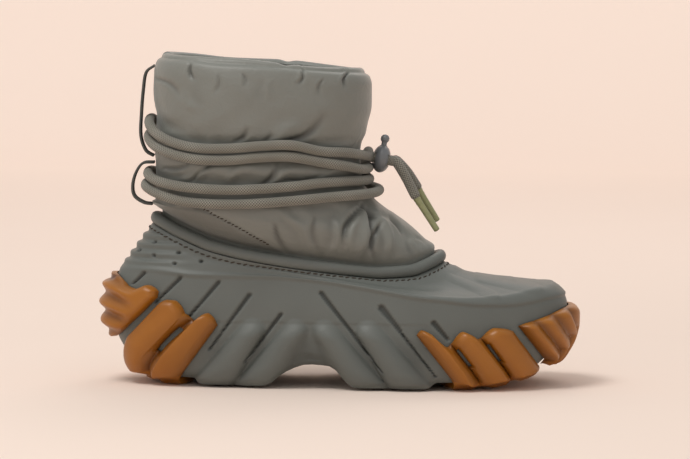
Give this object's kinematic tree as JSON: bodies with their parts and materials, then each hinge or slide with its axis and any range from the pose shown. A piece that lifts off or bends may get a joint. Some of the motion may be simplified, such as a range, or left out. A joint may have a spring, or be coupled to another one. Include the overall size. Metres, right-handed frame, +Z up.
{
  "type": "insulated boot",
  "caption": "Pull-on insulated boot: moulded foam shoe with gum rubber lug pods, padded nylon shaft with an ankle drawcord, sprung cord lock and heel pull loops.",
  "frame": {"origin": "centre of the flat spot under the heel, on the floor that the boot stands on", "axes": "+X towards the toe, +Y to the inner side of the foot, +Z up"},
  "size_m": [0.3041, 0.1192, 0.2085],
  "materials": {
    "foam": "satin grey-green moulded foam",
    "gum": "satin gum rubber",
    "nylon": "semi-gloss padded ripstop",
    "felt": "matt felt",
    "braid": "braided round cord",
    "webbing": "woven webbing",
    "sleeve": "olive shrink sleeve",
    "plastic": "satin moulded plastic"
  },
  "bodies": {
    "boot": {"shell": "foam", "insole": "felt", "heel_pod": "gum", "heel_outsole": "gum", "forefoot_outsole": "gum", "toe_pod": "gum", "collar_piping": "foam", "shaft": "nylon", "loop_upper": "webbing", "loop_lower": "webbing", "drawcord": "braid", "cord_end_a": "braid", "cord_end_b": "braid", "tip_a": "sleeve", "tip_b": "sleeve", "lock_barrel": "plastic"},
    "plunger": {"lock_plunger": "plastic"}
  },
  "joints": [
    {"name": "plunger_press", "type": "slide", "parent": "boot", "child": "plunger", "axis": [0.1736, 0, 0.9848], "range_m": [-0.002, 0], "stiffness_N_per_m": 400, "springref_m": 0.001}
  ]
}
